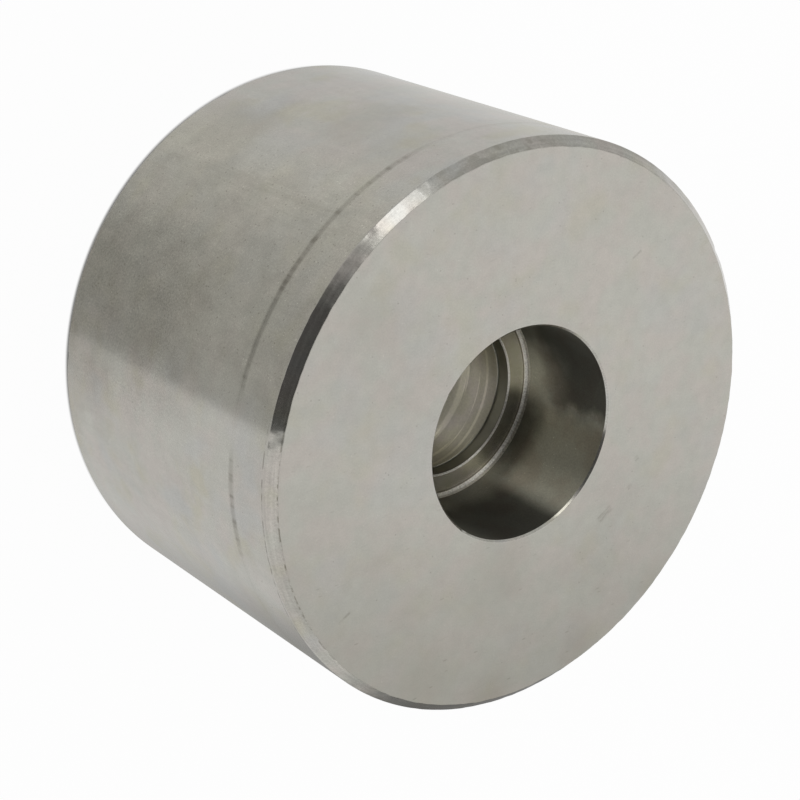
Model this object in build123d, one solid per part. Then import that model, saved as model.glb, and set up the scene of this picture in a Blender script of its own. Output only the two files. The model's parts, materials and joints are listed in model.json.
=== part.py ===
from build123d import *
import os

# Socket weld insert reducer, turned in one piece from stainless steel bar.
# It stands on its insert end: Z is the turning axis, the origin is the centre of the insert
# end's face, and the socket for the smaller pipe opens upwards. All sizes are millimetres.

# Outside: the plain end enters a socket fitting of the larger pipe size.
insert_diameter = 73.0
body_length = 48.0
socket_end_chamfer = 1.2
insert_end_chamfer = 0.8

# Fit-up line scribed round the outside, below the socket end.
fit_line_from_face = 8.1
fit_line_width = 0.3
fit_line_depth = 0.12

# Socket for the smaller pipe, which stops on a flat shoulder. The tool left a small steep cone
# in the corner between the socket's wall and the shoulder.
socket_diameter = 27.2
socket_depth = 15.6
socket_mouth_chamfer = 0.25
socket_floor_cone_height = 0.7
socket_floor_cone_width = 0.4

# Flow bore: a short lead turned with the socket, then the drilled bore through to the insert end.
bore_diameter = 20.7
bore_lead_depth = 2.1
bore_lead_step = 0.2
shoulder_edge_chamfer = 0.2
bore_exit_chamfer = 0.4

insert_radius = insert_diameter / 2
socket_radius = socket_diameter / 2
bore_radius = bore_diameter / 2
bore_lead_radius = bore_radius + bore_lead_step
shoulder_height = body_length - socket_depth
bore_lead_height = shoulder_height - bore_lead_depth
fit_line_height = body_length - fit_line_from_face


def corner(section, radius, height):
    """The section's corner nearest to a radius and a height."""
    return section.vertices().sort_by_distance((radius, height, 0))[0]


def half_section():
    """Half of the lengthwise section, with X as the radius and Y as the height."""
    with BuildSketch() as section:
        with BuildLine():
            Polyline(
                (bore_radius, 0),
                (insert_radius, 0),
                (insert_radius, body_length),
                (socket_radius, body_length),
                (socket_radius, shoulder_height + socket_floor_cone_height),
                (socket_radius - socket_floor_cone_width, shoulder_height),
                (bore_lead_radius, shoulder_height),
                (bore_lead_radius, bore_lead_height),
                (bore_radius, bore_lead_height),
                close=True,
            )
        make_face()
        chamfer(corner(section, insert_radius, body_length), socket_end_chamfer)
        chamfer(corner(section, insert_radius, 0), insert_end_chamfer)
        chamfer(corner(section, socket_radius, body_length), socket_mouth_chamfer)
        chamfer(corner(section, bore_lead_radius, shoulder_height), shoulder_edge_chamfer)
        chamfer(corner(section, bore_radius, 0), bore_exit_chamfer)
        with BuildLine():
            Polyline(
                (insert_radius, fit_line_height - fit_line_width / 2),
                (insert_radius - fit_line_depth, fit_line_height),
                (insert_radius, fit_line_height + fit_line_width / 2),
                close=True,
            )
        make_face(mode=Mode.SUBTRACT)
    return section.sketch


def reducer_body():
    """The whole turned piece: the half section swung round the Z axis."""
    return revolve(Plane.XZ * half_section(), axis=Axis.Z)


os.makedirs("parts", exist_ok=True)
body = reducer_body()
body.label = "reducer_body"
export_step(body, "parts/reducer_body.step")
print(f"reducer_body: volume {body.volume:.0f} mm3, valid {body.is_valid}")
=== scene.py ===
import json
import math

import bpy
import numpy as np
from mathutils import Matrix, Vector


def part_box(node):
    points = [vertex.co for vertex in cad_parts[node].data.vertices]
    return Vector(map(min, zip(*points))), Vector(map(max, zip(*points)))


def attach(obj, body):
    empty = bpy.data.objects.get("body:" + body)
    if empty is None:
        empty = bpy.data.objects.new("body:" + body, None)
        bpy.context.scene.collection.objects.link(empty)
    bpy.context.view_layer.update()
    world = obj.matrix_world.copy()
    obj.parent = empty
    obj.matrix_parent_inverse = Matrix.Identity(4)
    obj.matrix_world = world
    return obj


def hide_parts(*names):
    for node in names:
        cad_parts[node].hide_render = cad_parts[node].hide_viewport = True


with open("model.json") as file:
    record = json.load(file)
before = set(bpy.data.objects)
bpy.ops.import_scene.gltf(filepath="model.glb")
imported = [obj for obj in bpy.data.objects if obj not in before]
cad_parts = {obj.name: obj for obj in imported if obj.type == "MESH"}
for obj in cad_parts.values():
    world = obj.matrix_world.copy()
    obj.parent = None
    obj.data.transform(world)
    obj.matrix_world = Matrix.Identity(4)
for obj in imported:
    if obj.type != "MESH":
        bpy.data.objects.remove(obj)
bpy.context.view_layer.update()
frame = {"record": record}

# The sizes that the CAD part and its record already hold, in metres
bodyLow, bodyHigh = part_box("reducer_body")
mounts = {mount["name"]: mount for mount in frame["record"]["mounts"]}
outerRadius = bodyHigh[0]
bodyLength = bodyHigh[2]
socketRadius = mounts["socket"]["dims"]["r_mm"] / 1000
boreRadius = mounts["flow_bore"]["dims"]["r_mm"] / 1000
millimetre = 0.001

# The reducer's own sizes, in metres
reducer = {
    "socketEndChamfer": 0.0012,
    "insertEndChamfer": 0.0008,
    "fitLineFromFace": 0.0081,
    "fitLineWidth": 0.0003,
    "fitLineDepth": 0.000012,  # cut 0.12 mm deep, and filled with dirt nearly to the top
    "socketDepth": 0.0156,
    "mouthChamfer": 0.00025,
    "floorConeHeight": 0.0007,
    "floorConeWidth": 0.0004,
    "leadDepth": 0.0021,
    "leadStep": 0.0002,
    "shoulderChamfer": 0.0002,
    "exitChamfer": 0.0004,
    "edgeRound": 0.00007,      # what tumbling and handling took off each turned edge
    "edgeWave": 0.00003,       # how far the socket end's chamfer wanders
    "azimuthSteps": 480,
    "arcSteps": 5,             # points on each rounded edge
}

# The same places as the materials use them, in millimetres
topMm = bodyLength / millimetre
outerMm = outerRadius / millimetre
socketMm = socketRadius / millimetre
boreMm = boreRadius / millimetre
lineMm = topMm - reducer["fitLineFromFace"] / millimetre
shoulderMm = topMm - reducer["socketDepth"] / millimetre
leadEndMm = shoulderMm - reducer["leadDepth"] / millimetre
chamferMm = reducer["socketEndChamfer"] / millimetre

# Where edges were knocked: edge, azimuth in degrees, width and depth in metres
knocks = [
    ("mouth", -22.0, 0.00030, 0.00005),
    ("mouth", 24.0, 0.00030, 0.00006),
    ("mouth", 158.0, 0.00040, 0.00006),
    ("mouth", -118.0, 0.00035, 0.00007),
    ("chamferOut", 112.0, 0.00070, 0.00008),
    ("chamferOut", 171.0, 0.00050, 0.00006),
    ("chamferOut", 206.0, 0.00060, 0.00010),
    ("chamferOut", 41.0, 0.00060, 0.00009),
    ("chamferIn", 163.0, 0.00050, 0.00007),
    ("chamferIn", 104.0, 0.00060, 0.00007),
    ("chamferIn", 232.0, 0.00070, 0.00010),
    ("chamferIn", 290.0, 0.00070, 0.00009),
    ("insertEdge", 122.0, 0.00080, 0.00011),
    ("insertEdge", 187.0, 0.00070, 0.00012),
    ("insertEdge", 250.0, 0.00090, 0.00010),
    ("insertEdge", 15.0, 0.00080, 0.00010),
]

# Where the photograph was taken from: angles in degrees, and the eye in outside radii from the axis
camera = {
    "eye": (-4.5478, 1.6076, 6.1143),
    "forward": (0.62272, -0.23161, -0.74738),
    "roll": 116.457,
    "lens": 92.27,             # on a sensor 36 mm wide
}

studio = {
    "tableEdge": (-0.285, -0.235),
    "backLevel": 0.865,        # the room behind, which falls off to the left
    "backFall": 0.34,
    "ceilingLevel": 0.67,
    "leftLevel": 0.11,         # the dark side of the room, in front and to the left
    "windowDirection": (0.66, -0.23, 0.715),
    "tableDim": 0.09,          # the white table lies a little in shade, and more so close to the part
    "tableFall": 0.03,
    "shadeDirection": (0.62, -0.69, -0.33),
    "shadeDepth": 0.66,
    "lampDistance": 0.5,
    "lampDirection": (-0.281, 0.752, 0.586),
    "lampSize": (0.165, 0.165),
    "lampPower": 0.120,
    "floorRadius": 3.0,
    "floorGlow": 0.97,
}


class Signal:
    # One socket of a shader, used in Python expressions: each operator adds its own Math node
    def __init__(self, maker, socket):
        self.maker = maker
        self.socket = socket

    def math(self, operation, *values):
        return self.maker.add("ShaderNodeMath", {"operation": operation}, dict(enumerate(values)))

    def __add__(self, other):
        return self.math("ADD", self, other)

    def __radd__(self, other):
        return self.math("ADD", other, self)

    def __sub__(self, other):
        return self.math("SUBTRACT", self, other)

    def __rsub__(self, other):
        return self.math("SUBTRACT", other, self)

    def __mul__(self, other):
        return self.math("MULTIPLY", self, other)

    def __rmul__(self, other):
        return self.math("MULTIPLY", other, self)

    def __truediv__(self, other):
        return self.math("DIVIDE", self, other)

    def __pow__(self, other):
        return self.math("POWER", self, other)

    def __neg__(self):
        return self.math("MULTIPLY", self, -1.0)

    def __abs__(self):
        return self.math("ABSOLUTE", self)

    def step(self, start, end):
        # 0 below start and 1 above end, with a smooth climb between them
        return self.maker.add(
            "ShaderNodeMapRange",
            {"interpolation_type": "SMOOTHSTEP"},
            {"Value": self, "From Min": start, "From Max": end},
        )

    def near(self, centre, half, soft):
        # 1 within half of a centre, and 0 from half + soft outwards
        return 1 - abs(self - centre).step(half, half + soft)

    def toward(self, level, share):
        # This value moved to another level by a share from 0 to 1
        return self + share * (level - self)


class Maker:
    # Adds nodes to one shader tree: first the settings, then the values or links of the sockets
    def __init__(self, tree):
        self.tree = tree
        self.tree.nodes.clear()

    def add(self, kind, settings, inputs, output=0):
        node = self.tree.nodes.new(kind)
        for name, value in settings.items():
            setattr(node, name, value)
        for name, value in inputs.items():
            if isinstance(value, Signal):
                self.tree.links.new(value.socket, node.inputs[name])
            else:
                node.inputs[name].default_value = value
        return Signal(self, node.outputs[output]) if node.outputs else None

    def mix(self, factor, first, second):
        # Two colours mixed by a factor
        return self.add("ShaderNodeMix", {"data_type": "RGBA"}, {0: factor, 6: first, 7: second}, 2)

    def shade(self, colour, factor):
        # A colour made lighter or darker by a factor
        vector = colour if isinstance(colour, Signal) else colour[:3]
        return self.add("ShaderNodeVectorMath", {"operation": "SCALE"}, {0: vector, "Scale": factor})

    def split(self, vector):
        return [self.add("ShaderNodeSeparateXYZ", {}, {0: vector}, axis) for axis in "XYZ"]

    def join(self, x, y, z):
        return self.add("ShaderNodeCombineXYZ", {}, {0: x, 1: y, 2: z})

    def dot(self, vector, direction):
        return self.add("ShaderNodeVectorMath", {"operation": "DOT_PRODUCT"}, {0: vector, 1: direction}, "Value")

    def stretch(self, vector, scale, shift=(0, 0, 0)):
        # A vector scaled along each axis and then moved
        settings = {"operation": "MULTIPLY_ADD"}
        return self.add("ShaderNodeVectorMath", settings, {0: vector, 1: scale, 2: shift})

    def noise(self, vector, scale, detail=2.0, warp=0.0):
        # Cloudy values round 0.5, with features about 1/scale wide
        settings = {"Vector": vector, "Scale": scale, "Detail": detail, "Distortion": warp}
        return self.add("ShaderNodeTexNoise", {}, settings)

    def specks(self, vector, scale, size, share):
        # Round specks: one in each chosen cell of 1/scale, where share is the part of the cells that have one
        inputs = {"Vector": vector, "Scale": scale}
        distance = self.add("ShaderNodeTexVoronoi", {}, inputs, "Distance")
        lot = self.split(self.add("ShaderNodeTexVoronoi", {}, inputs, "Color"))[0]
        return (1 - distance.step(size * 0.5, size)) * (1 - lot.step(share - 0.01, share + 0.01))

    def distance(self, x, y):
        return (x * x + y * y) ** 0.5

    def place(self):
        # The point on the piece, in millimetres: the vector, then x, y and z, then the radius from the axis
        raw = self.add("ShaderNodeTexCoord", {}, {}, "Object")
        vector = self.add("ShaderNodeVectorMath", {"operation": "SCALE"}, {0: raw, "Scale": 1 / millimetre})
        x, y, z = self.split(vector)
        return vector, x, y, z, self.distance(x, y)

    def sector(self, x, y, radius, centre, inner, outer):
        # 1 within inner degrees of an azimuth, and 0 from outer degrees onwards
        angle = math.radians(centre)
        cosine = (x * math.cos(angle) + y * math.sin(angle)) / radius
        return cosine.step(math.cos(math.radians(outer)), math.cos(math.radians(inner)))

    def bump(self, height, depth, normal=None):
        # Relief from a height that is given in millimetres, times a depth
        inputs = {"Height": height, "Distance": depth * millimetre, "Strength": 1.0}
        if normal:
            inputs["Normal"] = normal
        return self.add("ShaderNodeBump", {}, inputs)


def rgb(red, green, blue):
    # A colour given as it looks on screen, 0 to 255, turned into the linear light that shaders use
    shown = np.array([red, green, blue]) / 255
    linear = np.where(shown <= 0.04045, shown / 12.92, ((shown + 0.055) / 1.055) ** 2.4)
    return (*linear.tolist(), 1.0)


def makeMaterial(name):
    material = bpy.data.materials.new(name)
    material.use_nodes = True
    return material, Maker(material.node_tree)


def metal(maker, colour, roughness, grain, normal=None):
    # Bare steel. grain is how far the turning lines stretch the gloss: the wide way is across the lines
    inputs = {
        "Base Color": colour,
        "Metallic": 1.0,
        "Roughness": roughness,
        "Anisotropic": grain,
        "Anisotropic Rotation": 0.25,
    }
    if normal:
        inputs["Normal"] = normal
    shader = maker.add("ShaderNodeBsdfPrincipled", {}, inputs)
    maker.add("ShaderNodeOutputMaterial", {}, {"Surface": shader})


# The bare steel's colour and its faint tints, as they look under white light
steel = {
    "pale": rgb(180, 177, 169),
    "rosy": rgb(182, 177, 170),
    "green": rgb(179, 178, 170),
    "olive": rgb(178, 175, 161),
    "blue": rgb(177, 177, 173),
    "brown": rgb(144, 132, 115),
    "dirt": rgb(84, 77, 60),
}


def mottledSteel(maker, vector, cloud, grain, tint=1.0):
    # The steel's colour with the faint clouds of tint and tone that handling and oil leave on it.
    # cloud and grain are how much the broad and the fine tones vary, and tint how much the colour does.
    rosy = maker.noise(vector, 0.21, 3).step(0.36, 0.64)
    base = maker.mix(rosy, steel["green"], steel["rosy"])
    olive = maker.noise(maker.stretch(vector, (1, 1, 1), (40, 7, 3)), 0.16, 3).step(0.5, 0.72)
    base = maker.mix(olive * tint, base, steel["olive"])
    blue = maker.noise(maker.stretch(vector, (1, 1, 1), (3, 60, 9)), 0.13, 2).step(0.5, 0.7)
    base = maker.mix(blue * tint * 0.8, base, steel["blue"])
    broad = maker.noise(vector, 0.12, 3) - 0.5
    middle = maker.noise(vector, 0.7, 3) - 0.5
    fine = maker.noise(vector, 4.5, 3) - 0.5
    return maker.shade(base, 1 + broad * cloud + middle * grain + fine * grain * 1.4)


# The faced ends. A stain is a tint, its strength, x, y and size; a scuff is x, y, length and width: millimetres
faced = {
    "roughness": 0.34,
    "grain": 0.7,
    "lineDepth": 0.0012,
    "pitDepth": 0.012,
    "filmStrength": 0.40,
    "stains": [
        ("olive", 0.26, 0.5, -17.5, 8.0),
        ("brown", 0.07, 2.6, -20.0, 3.0),
        ("olive", 0.30, 28.5, -21.0, 5.0),
        ("olive", 0.30, -8.0, -31.5, 6.5),
        ("brown", 0.20, 3.5, -34.5, 5.5),
        ("brown", 0.16, 17.0, -29.0, 5.0),
        ("olive", 0.18, -26.0, 14.0, 6.0),
    ],
    "scuffs": [
        (16.8, -10.8, 1.5, 0.6),
        (20.2, -7.2, 0.5, 0.3),
        (20.3, -3.4, 0.4, 0.4),
        (-22.0, -22.2, 1.2, 0.2),
        (12.6, 23.0, 1.0, 0.2),
    ],
    "spray": (-17.8, -4.6, 2.8),
}


def facedSteel():
    material, maker = makeMaterial("facedSteel")
    vector, x, y, z, radius = maker.place()
    colour = maker.shade(mottledSteel(maker, vector, 0.07, 0.16, 0.55), 1.06)

    # a thin olive film of old oil that thickens to one side, and stains in it
    drift = (maker.noise(vector, 0.16, 3) - 0.5) * 12
    film = (drift - y).step(0, 36)
    colour = maker.mix(film * faced["filmStrength"], colour, maker.shade(steel["olive"], 0.50))
    for tint, strength, stainX, stainY, size in faced["stains"]:
        reach = maker.distance(x - stainX, y - stainY) + drift * 0.25
        stain = 1 - reach.step(0, size)
        colour = maker.mix(stain * strength, colour, maker.shade(steel[tint], 0.72))

    # hatched scuffs, and a spray of dark specks beside the socket
    hatch = maker.noise(maker.join((x + y) * 0.7, (x - y) * 3.6, 0.0), 1.0, 2).step(0.42, 0.58)
    scuff = 0.0
    for scuffX, scuffY, half, width in faced["scuffs"]:
        along = (x - scuffX) * 0.707 + (y - scuffY) * 0.707
        across = (x - scuffX) * 0.707 - (y - scuffY) * 0.707
        scuff = scuff + along.near(0, half * 0.6, half * 0.4) * across.near(0, width * 0.6, width * 0.5)
    scuff = scuff * (0.25 + hatch * 0.75)
    colour = maker.mix(scuff * 0.24, colour, steel["dirt"])
    sprayX, sprayY, spraySize = faced["spray"]
    spray = 1 - maker.distance((x - sprayX) * 0.6, y - sprayY).step(0.3, spraySize)
    dense = maker.specks(maker.stretch(vector, (1, 1, 1), (5, 5, 0)), 1.5, 0.20, 0.55) * spray

    # small pits everywhere, dark and bright, and short strokes that get denser in the film
    pits = maker.specks(vector, 0.95, 0.12, 0.26)
    bright = maker.specks(maker.stretch(vector, (1, 1, 1), (31, 7, 2)), 1.1, 0.13, 0.26)
    turned = maker.join(x * 0.96 + y * 0.28, y * 0.96 - x * 0.28, z)
    strokes = maker.specks(maker.stretch(turned, (0.5, 1.7, 1), (3, 9, 4)), 0.8, 0.17, 0.26) * (0.35 + film * 0.65)
    colour = maker.mix(pits * 0.22 + dense * 0.45 + strokes * 0.22, colour, steel["dirt"])
    colour = maker.shade(colour, 1 + bright * 0.10)

    # faint scratches in two directions
    first = maker.noise(maker.stretch(maker.join(x * 0.93 + y * 0.37, y * 0.93 - x * 0.37, 0.0), (0.22, 3.2, 1)), 1.0, 2)
    second = maker.noise(maker.stretch(maker.join(x * 0.5 + y * 0.87, y * 0.5 - x * 0.87, 5.0), (0.28, 3.6, 1)), 1.0, 2)
    scratch = first.step(0.68, 0.74) + second.step(0.70, 0.76)
    colour = maker.shade(colour, 1 - scratch * 0.05)

    # the facing tool's lines run round the axis
    lines = maker.noise(maker.join(radius * 1.6, x * 0.05, y * 0.05), 1.0, 4)
    relief = maker.bump(lines, faced["lineDepth"])
    relief = maker.bump(1 - pits - dense * 0.5 - strokes, faced["pitDepth"], relief)
    metal(maker, colour, faced["roughness"] + (lines - 0.5) * 0.06 + film * 0.04, faced["grain"], relief)
    return material


# The turned outside. A patch is a tint, its tone and strength, its azimuth and half angle in degrees, and its depth
# below the socket end and half length in millimetres
turned = {
    "roughness": 0.21,
    "grain": 1.0,
    "film": (171, 7, 25, 12.0, 36.0),
    "patches": [
        ("olive", 0.74, 0.55, 130, 5.0, 38, 8),
        ("olive", 0.76, 0.36, 115, 6.0, 23, 6),
        ("olive", 0.80, 0.25, 121, 6.0, 12, 5),
        ("blue", 1.02, 0.80, 132, 4.0, 27, 4),
        ("brown", 0.80, 0.24, 168, 7.0, 24, 7),
        ("brown", 0.80, 0.20, 190, 6.0, 43, 6),
        ("dirt", 1.00, 0.20, 167, 4.0, 44, 3.5),
        ("dirt", 1.00, 0.16, 171, 5.0, 31, 5),
        ("green", 0.95, 0.50, 157, 3.0, 36, 6),
        ("brown", 0.85, 0.14, 82, 5.0, 23, 6),
        ("brown", 0.85, 0.30, 10, 12.0, 20, 9),
        ("olive", 0.80, 0.40, 310, 14.0, 30, 8),
    ],
    "streak": (141, 1.5, 5.0),
    "lineDirt": [(147, 19, 33, 0.80), (197, 6, 12, 0.80), (300, 20, 50, 0.50), (60, 14, 30, 0.30)],
}


def turnedSteel():
    material, maker = makeMaterial("turnedSteel")
    vector, x, y, z, radius = maker.place()
    depth = topMm - z
    colour = mottledSteel(maker, vector, 0.12, 0.12)

    # axial streaks where the bar slid along, and faint bands where the tool ran round
    streaks = maker.noise(maker.stretch(vector, (0.7, 0.7, 0.05)), 1.0, 3)
    bands = maker.noise(maker.stretch(vector, (0.05, 0.05, 0.26), (4, 2, 7)), 1.0, 3)
    colour = maker.shade(colour, 1 + (streaks - 0.5) * 0.10 + (bands - 0.5) * 0.16)

    # the brown film on one side, towards the insert end, and the grit in it
    warp = maker.noise(vector, 0.26, 3) - 0.5
    bentX, bentY = x + warp * 12, y - warp * 12
    bent = maker.distance(bentX, bentY)
    drift = maker.noise(maker.stretch(vector, (1, 1, 1), (7, 1, 30)), 0.2, 3) - 0.5
    azimuth, inner, outer, start, end = turned["film"]
    film = (depth + drift * 16).step(start, end) * maker.sector(x, y, radius, azimuth, inner, outer)
    blotch = maker.noise(maker.stretch(vector, (0.6, 0.6, 1), (9, 9, 1)), 0.28, 4, 0.5).step(0.36, 0.66)
    colour = maker.mix(film * (0.07 + blotch * 0.17), colour, maker.shade(steel["brown"], 0.62))
    for tint, tone, strength, azimuth, angle, place, length in turned["patches"]:
        patch = maker.sector(bentX, bentY, bent, azimuth, angle * 0.2, angle * 2.0)
        patch = patch * (depth + drift * 9).near(place, length * 0.2, length * 1.3)
        colour = maker.mix(patch * strength, colour, maker.shade(steel[tint], tone))

    # one dark rubbed streak along the piece
    azimuth, inner, outer = turned["streak"]
    thread = maker.noise(maker.stretch(vector, (2.2, 2.2, 0.07), (6, 6, 2)), 1.0, 3).step(0.44, 0.66)
    streak = maker.sector(x, y, radius, azimuth, inner, outer) * (0.25 + thread * 0.75)
    colour = maker.mix(streak * 0.34, colour, maker.shade(steel["olive"], 0.45))

    # grit, blotches and specks on the handled side, and short scratches along the piece
    side = maker.sector(x, y, radius, 154, 14, 32)
    colour = maker.mix(side * 0.60, colour, steel["olive"])
    grit = maker.noise(vector, 4.2, 4) - 0.5
    middle = maker.noise(maker.stretch(vector, (0.42, 0.42, 0.30)), 1.0, 3) - 0.5
    colour = maker.shade(colour, 1 + grit * (0.20 + film * 0.50 + side * 0.22) + middle * side * 0.40)
    dark = maker.specks(maker.stretch(vector, (1, 1, 1), (12, 4, 9)), 1.5, 0.22, 0.34) * side
    bright = maker.specks(maker.stretch(vector, (1, 1, 1), (2, 14, 5)), 1.7, 0.18, 0.34) * side
    colour = maker.mix(dark * 0.34, colour, steel["dirt"])
    scratch = maker.noise(maker.stretch(vector, (3.4, 3.4, 0.5), (1, 8, 3)), 1.0, 2).step(0.62, 0.72)
    groove = maker.noise(maker.stretch(vector, (3.0, 3.0, 0.35), (8, 1, 6)), 1.0, 2).step(0.62, 0.72)
    colour = maker.shade(colour, 1 + scratch * (0.04 + side * 0.02) + bright * 0.30 - groove * side * 0.05)

    # painted shadow: the lowest side near the socket end darkened towards olive, standing in for the part's shadow on
    # the table as the steel mirrors it
    paintedShadow = maker.sector(x, y, radius, 234, 4, 21) * (1 - depth.step(3, 24))
    colour = maker.mix(paintedShadow * 0.44, colour, maker.shade(steel["olive"], 0.45))

    # old dirt in and beside the scribed line, broken into flecks, and thinner to the sides
    flecks = maker.noise(maker.stretch(vector, (1, 1, 0)), 0.8, 4).step(0.48, 0.66)
    weave = (maker.noise(maker.stretch(vector, (1, 1, 0)), 0.5, 3) - 0.5) * 0.35
    line = (z + weave).near(lineMm, 0.18, 0.52)
    shown = 0.10
    for azimuth, inner, outer, strength in turned["lineDirt"]:
        shown = shown + maker.sector(x, y, radius, azimuth, inner, outer) * strength
    colour = maker.mix(line * shown * (0.15 + flecks * 0.36), colour, steel["dirt"])

    # a thinner brown line at the chamfer's edge, where the part stood on a dirty surface
    lower = maker.sector(x, y, radius, 204, 14, 30)
    rub = depth.near(1.62, 0.07, 0.08) * lower * maker.noise(maker.stretch(vector, (1, 1, 0)), 0.9, 3).step(0.38, 0.6)
    colour = maker.mix(rub * 0.5, colour, steel["dirt"])
    pits = maker.specks(vector, 0.8, 0.11, 0.28)
    colour = maker.mix(pits * 0.28, colour, steel["dirt"])

    lines = maker.noise(maker.join(x * 0.05, y * 0.05, z * 2.2), 1.0, 3)
    relief = maker.bump(lines, 0.0008)
    relief = maker.bump(1 - pits, 0.010, relief)
    metal(maker, colour, turned["roughness"] + film * 0.08 + line * shown * 0.12, turned["grain"], relief)
    return material


def chamferedSteel():
    # Filed by hand: fine lines run round, with blotches of oil on the upper side and dirt along the edges below
    material, maker = makeMaterial("chamferedSteel")
    vector, x, y, z, radius = maker.place()
    colour = mottledSteel(maker, vector, 0.10, 0.20)
    streaks = maker.noise(maker.join(x * 0.12, y * 0.12, z * 3.2), 1.0, 3)
    grit = maker.noise(vector, 3.2, 3) - 0.5
    colour = maker.shade(colour, 1 + (streaks - 0.5) * 0.5 + grit * 0.30)
    blotch = maker.noise(vector, 0.7, 3).step(0.44, 0.62) * maker.sector(x, y, radius, 112, 12, 20)
    colour = maker.mix(blotch * 0.40, colour, maker.shade(steel["olive"], 0.55))
    lower = maker.sector(x, y, radius, 204, 16, 32)
    specks = maker.noise(vector, 1.1, 3).step(0.42, 0.6)
    edge = (radius - outerMm + chamferMm).near(0, 0.08, 0.14) * (0.25 + 0.75 * lower)
    colour = maker.mix(edge * specks * 0.6, colour, steel["dirt"])
    relief = maker.bump(streaks, 0.006)
    metal(maker, colour, 0.14 + streaks * 0.06 + blotch * 0.10, 0.5, maker.bump(grit, 0.003, relief))
    return material


# The hole: its colour is painted darker than the outside (painted shade), and lighter where its wall mirrors light
# (painted reflection): a patch is its azimuth, inner and outer angle in degrees
hole = {
    "wall": rgb(163, 162, 149),
    "brown": rgb(151, 146, 133),
    "roughness": 0.40,
    "grain": 1.0,
    # painted shade: how dark the socket wall's colour is painted
    "paintedShadeTone": 0.36,
    "paintedLight": (-23, 18, 33),    # where the wall's colour is painted lighter near the mouth, as it mirrors light (painted reflection)
    "corner": (16, 4, 26),     # a place near the bottom of the wall painted lighter, as it mirrors light (painted reflection)
    # where the shoulder's colour is painted darker (painted shade)
    "shoulderShade": (-20, 18, 30),
}


def mouthSteel():
    # The small chamfer at the socket's mouth, cut clean by the last tool
    material, maker = makeMaterial("mouthSteel")
    vector, x, y, z, radius = maker.place()
    colour = mottledSteel(maker, vector, 0.10, 0.5)
    metal(maker, colour, 0.16, 0.3)
    return material


def socketSteel():
    material, maker = makeMaterial("socketSteel")
    vector, x, y, z, radius = maker.place()
    depth = topMm - z
    cloud = maker.noise(vector, 0.22, 3)
    fine = maker.noise(vector, 4.0, 3) - 0.5
    colour = maker.mix(cloud.step(0.40, 0.66), hole["wall"], hole["brown"])
    drift = maker.noise(vector, 0.25, 3) - 0.5
    bentX, bentY = x + drift * 4, y - drift * 4
    bent = maker.distance(bentX, bentY)
    # painted light and shade: the wall's colour is painted dark overall, and lighter in one sector near the mouth,
    # deeper down and in one sector near the bottom, where it mirrors light
    paintedLight = maker.sector(bentX, bentY, bent, *hole["paintedLight"])
    corner = maker.sector(bentX, bentY, bent, *hole["corner"])
    deep = (depth + drift * 3).step(9.5, 13.2)
    lower = (depth + drift * 3).step(5.5, 12.5)
    tone = hole["paintedShadeTone"] + (1 - deep) * paintedLight * 1.30 + deep * 0.32 + lower * corner * 0.72
    specks = maker.specks(vector, 1.6, 0.13, 0.20)
    colour = maker.shade(colour, tone * (1 + (cloud - 0.5) * 0.3 + fine * 0.5 + specks * 0.6))
    lines = maker.noise(maker.join(x * 0.06, y * 0.06, z * 2.4), 1.0, 3)
    metal(maker, colour, hole["roughness"] + (lines - 0.5) * 0.06, hole["grain"], maker.bump(lines, 0.0008))
    return material


def cornerSteel():
    # The narrow cones at the shoulder's two edges: coarse, their colour painted bright (painted light) and painted
    # darker in one sector (painted shade)
    material, maker = makeMaterial("cornerSteel")
    vector, x, y, z, radius = maker.place()
    grit = maker.noise(vector, 4.6, 3)
    paintedShade = maker.sector(x, y, radius, -18, 16, 30)
    colour = maker.shade(steel["pale"], 1.95 + (grit - 0.5) * 2.2 - paintedShade * 0.7)
    metal(maker, colour, 0.45, 0.8, maker.bump(grit, 0.05))
    return material


def shoulderSteel():
    material, maker = makeMaterial("shoulderSteel")
    vector, x, y, z, radius = maker.place()
    cloud = maker.noise(vector, 0.35, 3)
    colour = maker.mix(cloud.step(0.4, 0.65), steel["olive"], steel["rosy"])
    groove = radius.near(socketMm - reducer["floorConeWidth"] / millimetre - 0.12, 0.06, 0.1)
    # the shoulder's colour is painted bright (painted light), and darker in one sector (painted shade)
    paintedShade = maker.sector(x, y, radius, *hole["shoulderShade"])
    colour = maker.shade(colour, 2.1 - paintedShade * 0.8 + (maker.noise(vector, 2.2, 2) - 0.5) * 0.5)
    colour = maker.mix(groove * 0.7, colour, steel["dirt"])
    lines = maker.noise(maker.join(radius * 2.0, x * 0.05, y * 0.05), 1.0, 3)
    metal(maker, colour, 0.24, 0.8, maker.bump(lines, 0.001))
    return material


def leadSteel():
    material, maker = makeMaterial("leadSteel")
    vector, x, y, z, radius = maker.place()
    cloud = maker.noise(vector, 0.4, 2)
    # painted shade: the lead's colour darkened, standing in for the dark that it mirrors
    colour = maker.shade(hole["wall"], 0.58 + (cloud - 0.5) * 0.3)
    metal(maker, colour, 0.28, 0.8)
    return material


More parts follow.
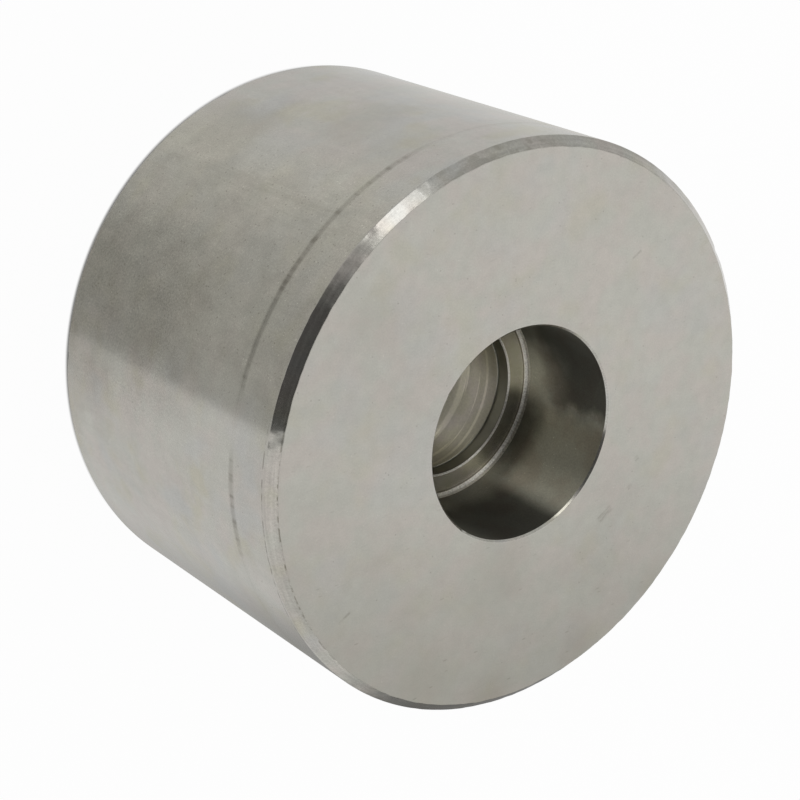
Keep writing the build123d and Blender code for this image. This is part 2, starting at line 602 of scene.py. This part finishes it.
def drilledSteel():
    # The drill's lips left rings that lean a little. The bore's colour is painted light, standing in for light reaching
    # into the bore (painted light); some rings are painted bright (painted highlight), and just below the lead's end it
    # is painted darker (painted shade)
    material, maker = makeMaterial("drilledSteel")
    vector, x, y, z, radius = maker.place()
    lean = z + x * 0.10 + y * 0.05
    rings = maker.noise(maker.join(x * 0.04, y * 0.04, lean * 1.3), 1.0, 4)
    broad = maker.noise(maker.join(x * 0.04, y * 0.04, lean * 0.32), 1.0, 2)
    bright = rings.step(0.60, 0.66) + lean.near(29.4, 0.12, 0.2) * 0.8 + lean.near(24.6, 0.35, 0.4) * 0.6
    cloud = maker.noise(vector, 0.25, 3)
    colour = maker.mix(cloud.step(0.4, 0.65), steel["olive"], steel["rosy"])
    near = (z - leadEndMm).step(-2.2, -0.2)
    fine = maker.noise(vector, 3.0, 3) - 0.5
    tone = 1.45 + (broad - 0.5) * 0.9 + bright * 0.50 + fine * 0.5
    colour = maker.shade(colour, tone * (1 - near * 0.16))
    metal(maker, colour, 0.42 - bright * 0.08, 0.9, maker.bump(rings, 0.02))
    return material


def ringMesh(name, profile, steps):
    # The profile swung round Z: x = r cos a, y = r sin a, z = height, as one closed grid of quads
    angle = np.linspace(0, 2 * np.pi, steps, endpoint=False)
    radius = profile[:, 0][:, None]
    height = np.broadcast_to(profile[:, 1][:, None], (len(profile), steps))
    grid = np.stack([radius * np.cos(angle), radius * np.sin(angle), height], axis=-1)
    grid = knockEdges(waveEdges(grid, angle))
    rows = np.arange(len(profile))[:, None]
    columns = np.arange(steps)[None, :]
    nextRow = (rows + 1) % len(profile)
    nextColumn = (columns + 1) % steps
    quads = np.stack(
        [rows * steps + columns, rows * steps + nextColumn, nextRow * steps + nextColumn, nextRow * steps + columns],
        axis=-1,
    ).reshape(-1, 4)
    mesh = bpy.data.meshes.new(name)
    mesh.from_pydata(grid.reshape(-1, 3), [], quads)
    mesh.polygons.foreach_set("use_smooth", np.ones(len(quads), dtype=bool))
    return mesh


def waveEdges(grid, angle):
    # The hand-filed chamfer wanders: its two edges move by depth * sum of cos(k * angle + k^2) / sqrt(count),
    # faded away from each edge as exp(-(distance / 0.5 mm)^2)
    beats = np.array([5, 17, 29, 43, 61, 79, 107, 139])
    wave = np.cos(beats[:, None] * angle + beats[:, None] ** 2).sum(axis=0) / math.sqrt(len(beats))
    other = np.roll(wave, 71)
    radius = np.linalg.norm(grid[..., :2], axis=-1)
    height = grid[..., 2]
    top = bodyLength
    chamfer = reducer["socketEndChamfer"]
    nearOuter = np.exp(-(((radius - outerRadius) ** 2 + (height - top + chamfer) ** 2) / 0.0005 ** 2))
    nearInner = np.exp(-(((radius - outerRadius + chamfer) ** 2 + (height - top) ** 2) / 0.0005 ** 2))
    moved = grid.copy()
    moved[..., 2] -= reducer["edgeWave"] * nearOuter * wave
    shrink = 1 - reducer["edgeWave"] * nearInner * other / radius
    moved[..., :2] *= shrink[..., None]
    return moved


def knockEdges(grid):
    # Each knock pushes the points round it into the metal by depth * exp(-(distance / width)^2)
    size = reducer
    top = bodyLength
    edges = {
        "mouth": (socketRadius + size["mouthChamfer"] / 2, top, 1, -1),
        "chamferOut": (outerRadius, top - size["socketEndChamfer"], -1, -1),
        "chamferIn": (outerRadius - size["socketEndChamfer"], top, -1, -1),
        "insertEdge": (outerRadius, size["insertEndChamfer"], -1, 1),
    }
    for edge, degrees, width, depth in knocks:
        radius, height, inward, downward = edges[edge]
        turn = math.radians(degrees)
        around = np.array([math.cos(turn), math.sin(turn), 0])
        centre = around * radius + np.array([0, 0, height])
        push = (around * inward + np.array([0, 0, downward])) / math.sqrt(2)
        distance = np.linalg.norm(grid - centre, axis=-1, keepdims=True)
        grid = grid + push * depth * np.exp(-(distance / width) ** 2)
    return grid


def profileCorners():
    # The section's corners, from the bore's lower edge round the outside and back down the hole: radius, height,
    # rounding, the steps on the stretch that leads to the next corner, and that stretch's finish
    size = reducer
    edge = size["edgeRound"]
    top = bodyLength
    line = top - size["fitLineFromFace"]
    halfLine = size["fitLineWidth"] / 2
    shoulder = top - size["socketDepth"]
    leadEnd = shoulder - size["leadDepth"]
    leadRadius = boreRadius + size["leadStep"]
    return [
        (boreRadius + size["exitChamfer"], 0, edge, 6, "faced"),
        (outerRadius - size["insertEndChamfer"], 0, edge, 1, "chamfered"),
        (outerRadius, size["insertEndChamfer"], edge, 20, "turned"),
        (outerRadius, line - halfLine, edge / 2, 1, "turned"),
        (outerRadius - size["fitLineDepth"], line, edge / 2, 1, "turned"),
        (outerRadius, line + halfLine, edge / 2, 6, "turned"),
        (outerRadius, top - size["socketEndChamfer"], edge * 2, 3, "chamfered"),
        (outerRadius - size["socketEndChamfer"], top, edge * 2, 10, "faced"),
        (socketRadius + size["mouthChamfer"], top, edge, 1, "mouth"),
        (socketRadius, top - size["mouthChamfer"], edge, 10, "socket"),
        (socketRadius, shoulder + size["floorConeHeight"], edge, 2, "corner"),
        (socketRadius - 0.00008, shoulder + 0.0003, edge * 3, 2, "corner"),
        (socketRadius - size["floorConeWidth"], shoulder, edge, 4, "shoulder"),
        (leadRadius + size["shoulderChamfer"], shoulder, edge, 1, "corner"),
        (leadRadius, shoulder - size["shoulderChamfer"], edge, 3, "lead"),
        (leadRadius, leadEnd, edge, 1, "lead"),
        (boreRadius, leadEnd, edge, 24, "drilled"),
        (boreRadius, size["exitChamfer"], edge, 1, "drilled"),
    ]


def profileCurve():
    # Each corner P becomes a curve from A to B, both one tangent length from P:
    # (1-s)^2 A + 2 s (1-s) P + s^2 B. The stretch to the next corner is then divided evenly.
    corners = profileCorners()
    point = np.array([corner[:2] for corner in corners])
    rounding = np.array([corner[2] for corner in corners])
    ahead = np.roll(point, -1, axis=0) - point
    ahead /= np.linalg.norm(ahead, axis=1, keepdims=True)
    behind = np.roll(ahead, 1, axis=0)
    turn = np.arccos(np.clip((ahead * behind).sum(axis=1), -1, 1))
    tangent = (rounding * np.tan(turn / 2))[:, None]
    start = point - behind * tangent
    end = point + ahead * tangent
    s = np.linspace(0, 1, reducer["arcSteps"])[None, :, None]
    arcs = (1 - s) ** 2 * start[:, None] + 2 * s * (1 - s) * point[:, None] + s ** 2 * end[:, None]
    following = np.roll(start, -1, axis=0)
    stretches, finishes = [], []
    for index, (_, _, _, steps, finish) in enumerate(corners):
        # a guard point close to each end keeps the flat beside an edge flat in the shading
        share = np.concatenate([[0.0], np.linspace(0, 1, steps + 1)[1:-1], [1.0]])
        length = np.linalg.norm(following[index] - end[index])
        guard = min(0.00003 / length, 0.2)
        share = guard + share * (1 - 2 * guard)
        stretches.append(end[index] + share[:, None] * (following[index] - end[index]))
        finishes += [finish] * (len(share) + reducer["arcSteps"])
    pieces = [part for pair in zip(arcs, stretches) for part in pair]
    return np.concatenate(pieces), finishes


def makeReducer():
    looks = {
        "faced": facedSteel(),
        "turned": turnedSteel(),
        "chamfered": chamferedSteel(),
        "mouth": mouthSteel(),
        "socket": socketSteel(),
        "corner": cornerSteel(),
        "shoulder": shoulderSteel(),
        "lead": leadSteel(),
        "drilled": drilledSteel(),
    }
    profile, finishes = profileCurve()
    mesh = ringMesh("reducer", profile, reducer["azimuthSteps"])
    for material in looks.values():
        mesh.materials.append(material)
    order = list(looks)
    rows = np.array([order.index(finish) for finish in finishes])
    mesh.polygons.foreach_set("material_index", np.repeat(rows, reducer["azimuthSteps"]))
    mesh.update()
    piece = bpy.data.objects.new("turnedReducer", mesh)
    bpy.context.scene.collection.objects.link(piece)
    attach(piece, "root")
    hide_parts("reducer_body")
    print("reducer:", len(profile), "profile points,", len(mesh.polygons) * 2, "triangles")
    return piece


def makeCamera():
    data = bpy.data.cameras.new("camera")
    data.lens = camera["lens"]
    data.clip_start = 0.01
    eye = bpy.data.objects.new("camera", data)
    bpy.context.scene.collection.objects.link(eye)
    forward = Vector(camera["forward"])
    level = forward.to_track_quat("-Z", "Y").to_matrix()
    roll = Matrix.Rotation(math.radians(camera["roll"]), 3, "Z")
    eye.matrix_world = Matrix.Translation(Vector(camera["eye"]) * outerRadius) @ (level @ roll).to_4x4()
    bpy.context.scene.camera = eye
    print("camera at", [round(value, 4) for value in eye.location])


def makeFloor():
    material, maker = makeMaterial("floorWhite")
    vector, x, y, z, radius = maker.place()
    light = maker.add("ShaderNodeLightPath", {}, {}, "Is Camera Ray")
    outside = radius.step(outerMm - 0.5, outerMm)
    glow = maker.add("ShaderNodeEmission", {}, {"Color": (1, 1, 1, 1), "Strength": 1.0})
    matte = maker.add("ShaderNodeBsdfDiffuse", {}, {"Color": (0.9, 0.9, 0.9, 1)})
    share = light * outside * studio["floorGlow"]
    mixed = maker.add("ShaderNodeMixShader", {}, {0: share, 1: matte, 2: glow})
    maker.add("ShaderNodeOutputMaterial", {}, {"Surface": mixed})
    half = studio["floorRadius"]
    corners = [(-half, -half, 0), (half, -half, 0), (half, half, 0), (-half, half, 0)]
    mesh = bpy.data.meshes.new("floor")
    mesh.from_pydata(corners, [], [(0, 1, 2, 3)])
    mesh.materials.append(material)
    floor = bpy.data.objects.new("floor", mesh)
    bpy.context.scene.collection.objects.link(floor)
    floor.location.z = -0.0001
    floor.visible_glossy = False
    print("floor laid")


def makeWorld():
    # The room as the steel mirrors it, by direction: a dark side in front to the left, a grey ceiling, a wall behind
    # that falls off to the left, and a bright window in front to the right. The white table is the background, so
    # the camera sees it everywhere and the steel mirrors it below, dimmed where the part shades it.
    world = bpy.data.worlds.new("studio")
    world.use_nodes = True
    bpy.context.scene.world = world
    maker = Maker(world.node_tree)
    direction = maker.add("ShaderNodeTexCoord", {}, {}, "Generated")
    x, y, z = maker.split(direction)
    front = z.step(-0.35, -0.05)
    left = (-x).step(0.10, 0.40) * (1 - y.step(0.38, 0.72))
    behind = studio["backLevel"] - studio["backFall"] * (-x).step(0.05, 0.85) + x.step(0.48, 0.64) * 0.08
    before = studio["ceilingLevel"] + left * (studio["leftLevel"] - studio["ceilingLevel"])
    window = maker.dot(direction, studio["windowDirection"]).step(0.78, 0.92)
    room = behind.toward(before, front).toward(1.0, window)
    table = 1 - y.step(*studio["tableEdge"])
    shade = maker.dot(direction, studio["shadeDirection"]).step(0.74, 0.97)
    near = studio["tableDim"] + (-y).step(0.60, 0.80) * studio["tableFall"]
    dim = shade * studio["shadeDepth"] + table * near
    seen = maker.add("ShaderNodeLightPath", {}, {}, "Is Camera Ray")
    mirrored = maker.add("ShaderNodeLightPath", {}, {}, "Is Glossy Ray")
    strength = room.toward(1.0, seen + mirrored * table) * (1 - mirrored * dim)
    sky = maker.add("ShaderNodeBackground", {}, {"Color": (1, 1, 1, 1), "Strength": strength})
    maker.add("ShaderNodeOutputWorld", {}, {"Surface": sky})
    print("room lit")


def makeLamp():
    data = bpy.data.lights.new("softbox", "AREA")
    data.shape = "RECTANGLE"
    data.size, data.size_y = studio["lampSize"]
    data.energy = studio["lampPower"]
    lamp = bpy.data.objects.new("softbox", data)
    bpy.context.scene.collection.objects.link(lamp)
    toward = Vector(studio["lampDirection"]).normalized()
    lamp.location = toward * studio["lampDistance"] + Vector((0, 0, bodyLength))
    lamp.rotation_euler = (-toward).to_track_quat("-Z", "Y").to_euler()
    print("lamp hung")


def setColours():
    bpy.context.scene.view_settings.view_transform = "Standard"


setColours()
makeCamera()
makeReducer()
makeFloor()
makeWorld()
makeLamp()
